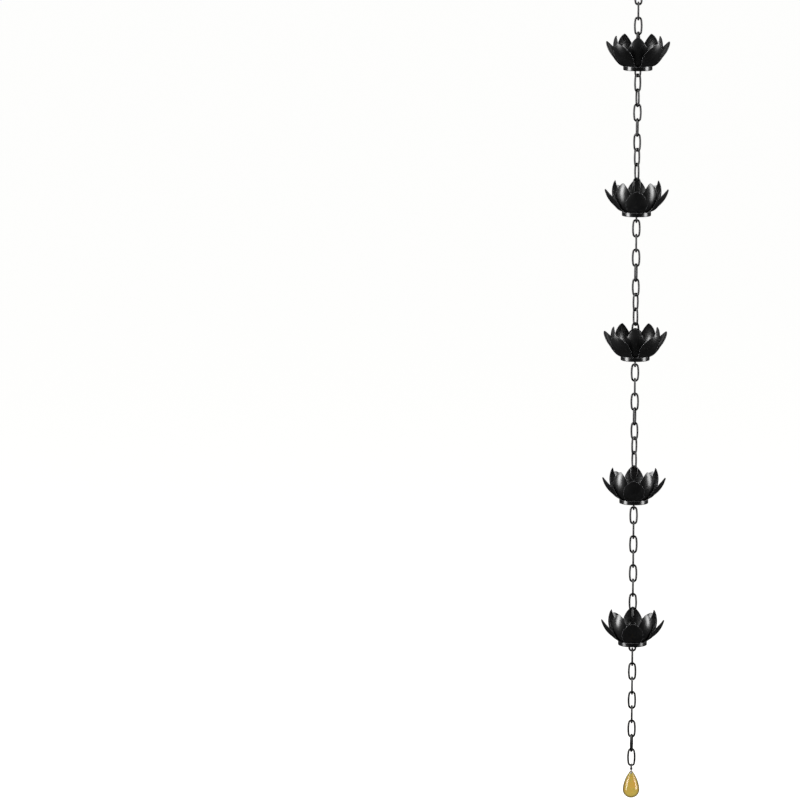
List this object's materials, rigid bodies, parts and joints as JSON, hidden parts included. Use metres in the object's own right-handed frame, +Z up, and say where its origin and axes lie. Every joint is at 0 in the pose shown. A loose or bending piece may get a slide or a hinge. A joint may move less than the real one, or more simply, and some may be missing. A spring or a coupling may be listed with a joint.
{
  "type": "rain chain",
  "caption": "Hanging rain chain of oval wire links with lotus-shaped cups that lead roof water down to a glass drop at its end.",
  "frame": {"origin": "the seat of the top link, the underside of the wire at its upper end, where the chain hangs on its hook", "axes": "+Z straight up along the hanging chain, -Y to the chain's front"},
  "size_m": [0.128, 0.1324, 1.6547],
  "materials": {
    "petals": "black satin powder coat on stamped sheet steel, bright along the worn rims",
    "ring": "black satin powder coat on a turned steel collar",
    "wire": "black satin powder coat on round steel wire",
    "hook_wire": "black lacquer on thin steel wire",
    "amber_glass": "clear amber glass, fire polished"
  },
  "bodies": {
    "top_links": {"top_link_1": "wire", "top_link_2": "wire", "top_link_3": "wire", "top_link_4": "wire"},
    "cup_1": {"cup_1_hanger": "wire", "cup_1_base_ring": "ring", "cup_1_outer_petals": "petals", "cup_1_inner_petals": "petals"},
    "run_1": {"run_1_link_1": "wire", "run_1_link_2": "wire", "run_1_link_3": "wire", "run_1_link_4": "wire", "run_1_link_5": "wire", "run_1_link_6": "wire", "run_1_link_7": "wire", "run_1_link_8": "wire"},
    "cup_2": {"cup_2_hanger": "wire", "cup_2_base_ring": "ring", "cup_2_outer_petals": "petals", "cup_2_inner_petals": "petals"},
    "run_2": {"run_2_link_1": "wire", "run_2_link_2": "wire", "run_2_link_3": "wire", "run_2_link_4": "wire", "run_2_link_5": "wire", "run_2_link_6": "wire", "run_2_link_7": "wire", "run_2_link_8": "wire"},
    "cup_3": {"cup_3_hanger": "wire", "cup_3_base_ring": "ring", "cup_3_outer_petals": "petals", "cup_3_inner_petals": "petals"},
    "run_3": {"run_3_link_1": "wire", "run_3_link_2": "wire", "run_3_link_3": "wire", "run_3_link_4": "wire", "run_3_link_5": "wire", "run_3_link_6": "wire", "run_3_link_7": "wire", "run_3_link_8": "wire"},
    "cup_4": {"cup_4_hanger": "wire", "cup_4_base_ring": "ring", "cup_4_outer_petals": "petals", "cup_4_inner_petals": "petals"},
    "run_4": {"run_4_link_1": "wire", "run_4_link_2": "wire", "run_4_link_3": "wire", "run_4_link_4": "wire", "run_4_link_5": "wire", "run_4_link_6": "wire", "run_4_link_7": "wire", "run_4_link_8": "wire"},
    "cup_5": {"cup_5_hanger": "wire", "cup_5_base_ring": "ring", "cup_5_outer_petals": "petals", "cup_5_inner_petals": "petals"},
    "tail": {"tail_links": "wire"},
    "drop": {"drop_hook": "hook_wire", "glass_drop": "amber_glass"}
  },
  "joints": [
    {"name": "cup_1_swing", "type": "hinge", "parent": "top_links", "child": "cup_1", "pos_m": [0, 0, -0.1172], "axis": [0.809, -0.5878, 0], "range_deg": [-45, 45]},
    {"name": "run_1_swing", "type": "hinge", "parent": "cup_1", "child": "run_1", "pos_m": [0, 0, -0.1712], "axis": [0.788, 0.6157, 0], "range_deg": [-45, 45]},
    {"name": "cup_2_swing", "type": "hinge", "parent": "run_1", "child": "cup_2", "pos_m": [0, 0, -0.4096], "axis": [0, -1, 0], "range_deg": [-45, 45]},
    {"name": "run_2_swing", "type": "hinge", "parent": "cup_2", "child": "run_2", "pos_m": [0, 0, -0.4636], "axis": [1, 0, 0], "range_deg": [-45, 45]},
    {"name": "cup_3_swing", "type": "hinge", "parent": "run_2", "child": "cup_3", "pos_m": [0, 0, -0.702], "axis": [0, -1, 0], "range_deg": [-45, 45]},
    {"name": "run_3_swing", "type": "hinge", "parent": "cup_3", "child": "run_3", "pos_m": [0, 0, -0.756], "axis": [1, 0, 0], "range_deg": [-45, 45]},
    {"name": "cup_4_swing", "type": "hinge", "parent": "run_3", "child": "cup_4", "pos_m": [0, 0, -0.9944], "axis": [0, -1, 0], "range_deg": [-45, 45]},
    {"name": "run_4_swing", "type": "hinge", "parent": "cup_4", "child": "run_4", "pos_m": [0, 0, -1.0484], "axis": [1, 0, 0], "range_deg": [-45, 45]},
    {"name": "cup_5_swing", "type": "hinge", "parent": "run_4", "child": "cup_5", "pos_m": [0, 0, -1.2868], "axis": [1, 0, 0], "range_deg": [-45, 45]},
    {"name": "tail_swing", "type": "hinge", "parent": "cup_5", "child": "tail", "pos_m": [0, 0, -1.3408], "axis": [0, 1, 0], "range_deg": [-45, 45]},
    {"name": "drop_swing", "type": "hinge", "parent": "tail", "child": "drop", "pos_m": [0, 0, -1.5803], "axis": [0, 1, 0], "range_deg": [-45, 45]}
  ]
}
